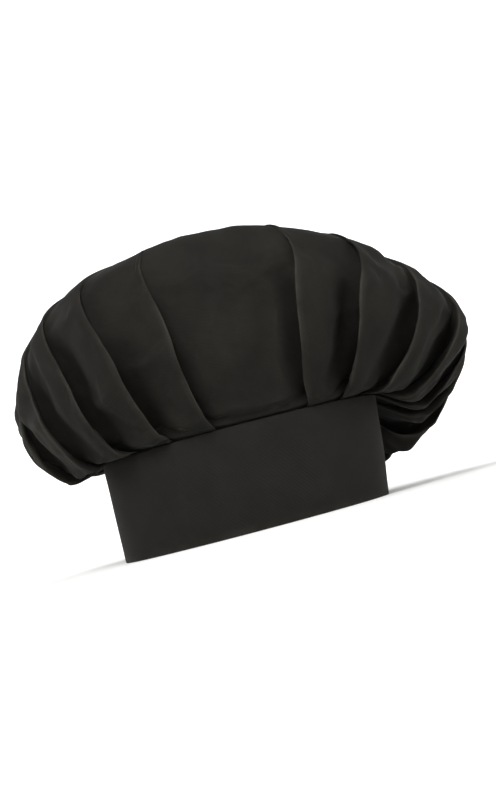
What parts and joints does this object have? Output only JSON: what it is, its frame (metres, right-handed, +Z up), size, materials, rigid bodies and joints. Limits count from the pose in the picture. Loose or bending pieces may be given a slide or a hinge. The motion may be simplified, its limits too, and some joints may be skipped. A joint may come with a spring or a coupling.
{
  "type": "pleated chef hat",
  "caption": "Floppy black chef hat: a full knife-pleated cloth crown, drooping to one side, gathered into a plain folded headband.",
  "frame": {"origin": "bottom centre of the hat's bounding box, on the surface that the headband's rim stands on", "axes": "+Z up through the crown, -Y out of the plain front panel, +X towards the fuller side that droops"},
  "size_m": [0.3318, 0.3004, 0.2014],
  "materials": {
    "band": "matt black twill, pressed flat",
    "crown": "matt black twill, soft and creased"
  },
  "bodies": {
    "root": {"band": "band", "crown": "crown"}
  },
  "joints": []
}
